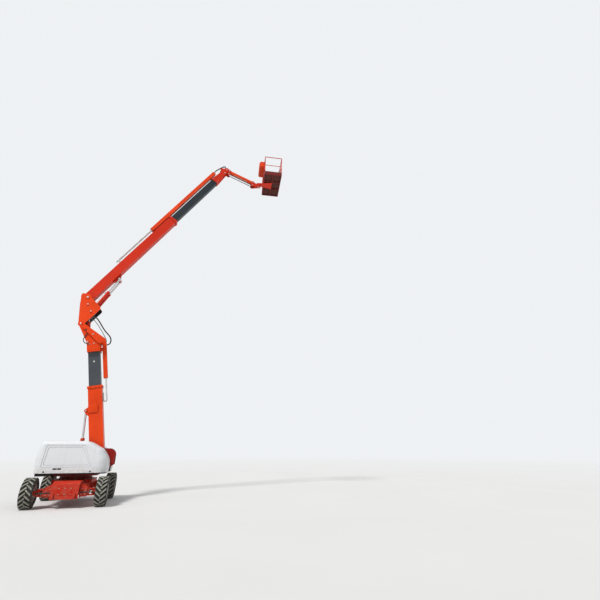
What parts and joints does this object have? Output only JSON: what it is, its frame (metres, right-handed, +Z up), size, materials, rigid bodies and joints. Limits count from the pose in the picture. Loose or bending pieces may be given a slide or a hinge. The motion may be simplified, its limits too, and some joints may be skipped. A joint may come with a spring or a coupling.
{
  "type": "articulating boom lift",
  "caption": "Self-propelled boom lift with a folding telescopic tower, an upright, a telescopic main boom, a jib and a railed work basket on a slewing turntable and a wheeled chassis.",
  "frame": {"origin": "on the ground, midway along the machine's overall reach and width with the boom as posed", "axes": "+X the way the boom reaches, +Y along the chassis away from its steered end, +Z up"},
  "size_m": [8.6572, 3.39, 16.3426],
  "materials": {
    "cast": "rough",
    "chrome_rod": "polished",
    "dark_paint": "satin",
    "dark_plastic": "matt",
    "red_paint": "semi-gloss",
    "rim_paint": "semi-gloss",
    "steel": "satin",
    "tyre": "matt",
    "white_shell": "gloss"
  },
  "bodies": {
    "chassis": {"chassis_frame": "red_paint", "front_axle": "dark_paint", "rear_axle": "dark_paint", "steer_cylinder": "dark_paint", "slewing_ring": "steel"},
    "steer_rods": {"steer_rod": "chrome_rod"},
    "steer_left": {"knuckle_left": "dark_paint"},
    "steer_right": {"knuckle_right": "dark_paint"},
    "wheel_front_left": {"front_left_tyre": "tyre", "front_left_rim": "rim_paint"},
    "wheel_front_right": {"front_right_tyre": "tyre", "front_right_rim": "rim_paint"},
    "wheel_rear_left": {"rear_left_tyre": "tyre", "rear_left_rim": "rim_paint"},
    "wheel_rear_right": {"rear_right_tyre": "tyre", "rear_right_rim": "rim_paint"},
    "turntable": {"turntable_frame": "red_paint", "counterweight": "cast", "engine_block": "cast", "fuel_tank": "dark_plastic", "oil_tank": "dark_plastic", "tray_right": "dark_paint", "tray_left": "dark_paint"},
    "lid_right": {"hood_right": "white_shell"},
    "lid_left": {"hood_left": "white_shell"},
    "tower": {"tower_base": "red_paint", "tower_chain": "steel"},
    "tower_extension": {"tower_inner": "dark_paint", "tower_head": "red_paint", "tower_hose_tube": "red_paint"},
    "upright": {"upright": "red_paint"},
    "tower_lift_barrel": {"tower_cylinder_barrel": "red_paint"},
    "tower_lift_rod": {"tower_cylinder_rod": "chrome_rod"},
    "level_barrel": {"level_cylinder_barrel": "red_paint"},
    "level_rod": {"level_cylinder_rod": "chrome_rod"},
    "boom_lift_barrels": {"boom_cylinders_barrel": "red_paint"},
    "boom_lift_rods": {"boom_cylinders_rod": "chrome_rod"},
    "main_boom": {"boom_base": "red_paint", "boom_chain": "steel"},
    "boom_extension": {"boom_inner": "dark_paint", "boom_tip": "red_paint", "boom_hose_tube": "red_paint"},
    "knuckle": {"knuckle_head": "red_paint"},
    "jib": {"jib_arm": "red_paint"},
    "jib_link": {"jib_link": "dark_paint"},
    "carrier": {"basket_carrier": "red_paint"},
    "basket": {"basket_bracket": "red_paint", "basket_frame": "dark_paint", "basket_rails": "red_paint", "control_console": "dark_plastic"},
    "gate": {"basket_gate": "red_paint"}
  },
  "joints": [
    {"name": "steer_left", "type": "hinge", "parent": "chassis", "child": "steer_left", "pos_m": [-3.8861, -1.24, 0.455], "axis": [0, 0, 1], "range_deg": [-35, 35]},
    {"name": "steer_right", "type": "hinge", "parent": "chassis", "child": "steer_right", "pos_m": [-2.2861, -1.24, 0.455], "axis": [0, 0, 1], "range_deg": [-35, 35]},
    {"name": "steer_rod_slide", "type": "slide", "parent": "chassis", "child": "steer_rods", "axis": [1, 0, 0], "range_m": [-0.133, 0.133]},
    {"name": "roll_front_left", "type": "hinge", "parent": "steer_left", "child": "wheel_front_left", "pos_m": [-4.1511, -1.24, 0.455], "axis": [1, 0, 0], "continuous": true},
    {"name": "roll_front_right", "type": "hinge", "parent": "steer_right", "child": "wheel_front_right", "pos_m": [-2.0211, -1.24, 0.455], "axis": [1, 0, 0], "continuous": true},
    {"name": "roll_rear_left", "type": "hinge", "parent": "chassis", "child": "wheel_rear_left", "pos_m": [-4.1511, 1.24, 0.455], "axis": [1, 0, 0], "continuous": true},
    {"name": "roll_rear_right", "type": "hinge", "parent": "chassis", "child": "wheel_rear_right", "pos_m": [-2.0211, 1.24, 0.455], "axis": [1, 0, 0], "continuous": true},
    {"name": "slew", "type": "hinge", "parent": "chassis", "child": "turntable", "pos_m": [-3.0861, 0, 0.897], "axis": [0, 0, 1], "continuous": true},
    {"name": "open_right", "type": "hinge", "parent": "turntable", "child": "lid_right", "pos_m": [-3.0861, -0.3303, 2.03], "axis": [-1, 0, 0], "range_deg": [0, 55]},
    {"name": "open_left", "type": "hinge", "parent": "turntable", "child": "lid_left", "pos_m": [-3.0861, 0.3303, 2.03], "axis": [1, 0, 0], "range_deg": [0, 55]},
    {"name": "tower_lift", "type": "hinge", "parent": "turntable", "child": "tower", "pos_m": [-2.4861, 0, 1.42], "axis": [0, 1, 0], "range_deg": [-73, 2]},
    {"name": "tower_extend", "type": "slide", "parent": "tower", "child": "tower_extension", "axis": [-0.1959, 0, 0.9806], "range_m": [-1.25, 0]},
    {"name": "upright_level", "type": "hinge", "parent": "tower_extension", "child": "upright", "pos_m": [-3.92688, 0, 6.45122], "axis": [0, -1, 0], "range_deg": [-73, 2]},
    {"name": "boom_lift", "type": "hinge", "parent": "upright", "child": "main_boom", "pos_m": [-3.88688, 0, 7.60122], "axis": [0, -1, 0], "range_deg": [-57, 18]},
    {"name": "boom_extend", "type": "slide", "parent": "main_boom", "child": "boom_extension", "axis": [0.5446, 0, 0.8387], "range_m": [-3.05, 0]},
    {"name": "knuckle_level", "type": "hinge", "parent": "boom_extension", "child": "knuckle", "pos_m": [1.28719, 0, 15.56859], "axis": [0, 1, 0], "range_deg": [-57, 18]},
    {"name": "jib_lift", "type": "hinge", "parent": "knuckle", "child": "jib", "pos_m": [1.42719, 0, 15.54859], "axis": [0, -1, 0], "range_deg": [-42.5, 85]},
    {"name": "jib_link_lift", "type": "hinge", "parent": "knuckle", "child": "jib_link", "pos_m": [1.40719, 0, 15.36859], "axis": [0, -1, 0], "range_deg": [-42.5, 85]},
    {"name": "carrier_level", "type": "hinge", "parent": "jib", "child": "carrier", "pos_m": [2.71471, 0, 15.14264], "axis": [0, 1, 0], "range_deg": [-42.5, 85]},
    {"name": "basket_turn", "type": "hinge", "parent": "carrier", "child": "basket", "pos_m": [3.04471, 0, 15.22264], "axis": [0, 0, 1], "range_deg": [-81, 99]},
    {"name": "gate_swing", "type": "hinge", "parent": "basket", "child": "gate", "pos_m": [3.57008, 0.82396, 15.41263], "axis": [0, 0, -1], "range_deg": [0, 90]},
    {"name": "tower_cylinder_tilt", "type": "hinge", "parent": "turntable", "child": "tower_lift_barrel", "pos_m": [-3.0361, 0, 1.07], "axis": [0, -1, 0], "range_deg": [-2.63, 78.19]},
    {"name": "tower_cylinder_stroke", "type": "slide", "parent": "tower_lift_barrel", "child": "tower_lift_rod", "axis": [-0.0669, 0, 0.9978], "range_m": [-0.7689, 0.0259]},
    {"name": "level_cylinder_tilt", "type": "hinge", "parent": "tower_extension", "child": "level_barrel", "pos_m": [-3.54634, 0, 5.73082], "axis": [0, -1, 0], "range_deg": [-38.49, 1.54]},
    {"name": "level_cylinder_stroke", "type": "slide", "parent": "level_barrel", "child": "level_rod", "axis": [-0.1759, 0, 0.9844], "range_m": [-0.6125, 0.0216]},
    {"name": "boom_cylinder_tilt", "type": "hinge", "parent": "upright", "child": "boom_lift_barrels", "pos_m": [-3.66688, 0, 7.01122], "axis": [0, -1, 0], "range_deg": [-50.95, 16.43]},
    {"name": "boom_cylinder_stroke", "type": "slide", "parent": "boom_lift_barrels", "child": "boom_lift_rods", "axis": [0.4667, 0, 0.8844], "range_m": [-0.5821, 0.1872]}
  ],
  "couplings": [
    {"joint": "steer_right", "follows": "steer_left", "ratio": 1},
    {"joint": "steer_rod_slide", "follows": "steer_left", "m_per_rad": 0.1784},
    {"joint": "upright_level", "follows": "tower_lift", "ratio": 1},
    {"joint": "knuckle_level", "follows": "boom_lift", "ratio": 1},
    {"joint": "jib_link_lift", "follows": "jib_lift", "ratio": 1},
    {"joint": "carrier_level", "follows": "jib_lift", "ratio": 1},
    {"joint": "tower_cylinder_tilt", "follows": "tower_lift", "ratio": -1.0642},
    {"joint": "tower_cylinder_stroke", "follows": "tower_lift", "m_per_rad": 0.59957},
    {"joint": "level_cylinder_tilt", "follows": "tower_lift", "ratio": 0.52036},
    {"joint": "level_cylinder_stroke", "follows": "tower_lift", "m_per_rad": 0.47681},
    {"joint": "boom_cylinder_tilt", "follows": "boom_lift", "ratio": 0.88506},
    {"joint": "boom_cylinder_stroke", "follows": "boom_lift", "m_per_rad": 0.5801}
  ]
}
